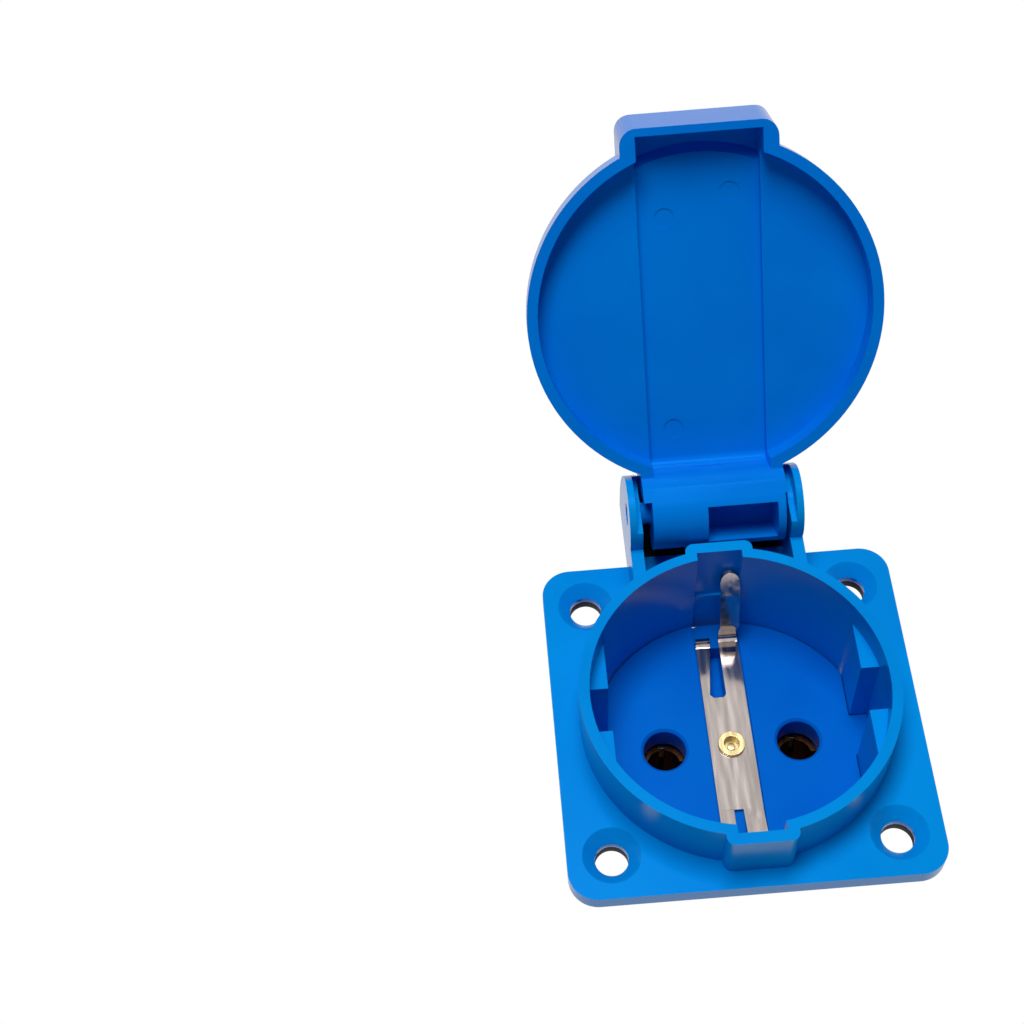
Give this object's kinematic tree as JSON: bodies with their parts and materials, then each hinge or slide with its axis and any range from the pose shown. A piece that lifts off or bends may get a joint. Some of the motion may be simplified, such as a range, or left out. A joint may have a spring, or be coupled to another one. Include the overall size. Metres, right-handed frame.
{
  "type": "industrial panel socket",
  "caption": "Square-flanged panel socket with a round plug recess, side earth springs, a hinged round lid on a hooded hinge and screw terminals behind the panel.",
  "frame": {"origin": "on the socket's axis, in the plane of the panel, which is the back of the gasket and the centre of the four fixing holes", "axes": "+Z out of the panel towards the plug, +Y towards the lid's hinge, +X to the right"},
  "size_m": [0.05, 0.0914, 0.0827],
  "materials": {
    "blue_plastic": "moulded polyamide, glossy",
    "deep_blue_plastic": "moulded polyamide, glossy",
    "black_rubber": "flat sheet seal, matt",
    "black_plastic": "moulded polyamide, fine matt",
    "contact_brass": "stamped brass, bright",
    "spring_steel": "hardened strip, satin",
    "zinc_plated_steel": "zinc plated, satin",
    "nickel_plated_brass": "nickel-plated strip, satin bright"
  },
  "bodies": {
    "socket": {"housing": "blue_plastic", "panel_gasket": "black_rubber", "socket_insert": "deep_blue_plastic", "rear_cover": "black_plastic", "line_contact": "contact_brass", "neutral_contact": "contact_brass", "line_spring": "spring_steel", "neutral_spring": "spring_steel", "line_clamp": "zinc_plated_steel", "neutral_clamp": "zinc_plated_steel", "line_screw": "zinc_plated_steel", "neutral_screw": "zinc_plated_steel", "earth_strip": "nickel_plated_brass", "earth_rivet": "contact_brass", "earth_terminal": "contact_brass", "earth_clamp": "zinc_plated_steel", "earth_screw": "zinc_plated_steel", "insert_screws": "zinc_plated_steel", "cover_screws": "zinc_plated_steel"},
    "lid_body": {"lid": "blue_plastic"}
  },
  "joints": [
    {"name": "lid_hinge", "type": "hinge", "parent": "socket", "child": "lid_body", "pos_m": [0, 0.0284, 0.0128], "axis": [1, 0, 0], "range_deg": [0, 127]}
  ]
}
